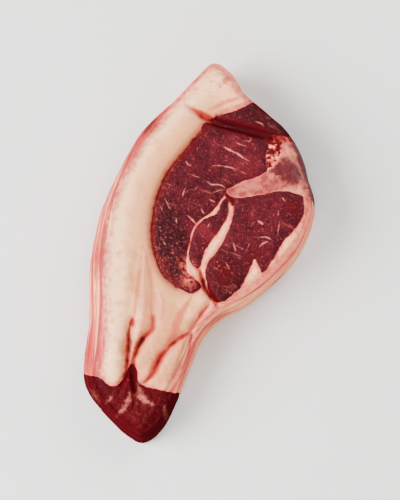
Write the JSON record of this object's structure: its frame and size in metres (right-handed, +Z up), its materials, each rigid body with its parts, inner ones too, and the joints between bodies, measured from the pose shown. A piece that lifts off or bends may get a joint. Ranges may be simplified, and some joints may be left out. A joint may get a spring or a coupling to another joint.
{
  "type": "raw loin chop",
  "caption": "Raw lamb loin chop lying on a cut face: thick fat cover, T-shaped bone, loin eye, tenderloin and a fatty flank tail.",
  "frame": {"origin": "centre of the lower cut face's bounding box, on the surface that the chop lies on", "axes": "+Y from the flank tail up to the backbone end, +X from the fat cover across to the bone's side, +Z up through the cut"},
  "size_m": [0.0878, 0.143, 0.0245],
  "materials": {
    "fat": "cream raw lamb fat, waxy and slightly moist",
    "bone": "sawn pink bone with a spongy centre",
    "lean": "moist dark red raw lamb lean with fine marbling"
  },
  "bodies": {
    "root": {"fat": "fat", "bone": "bone", "loin_eye": "lean", "tenderloin": "lean", "strip_muscle": "lean", "upper_muscle": "lean", "flank_meat": "lean"}
  },
  "joints": []
}
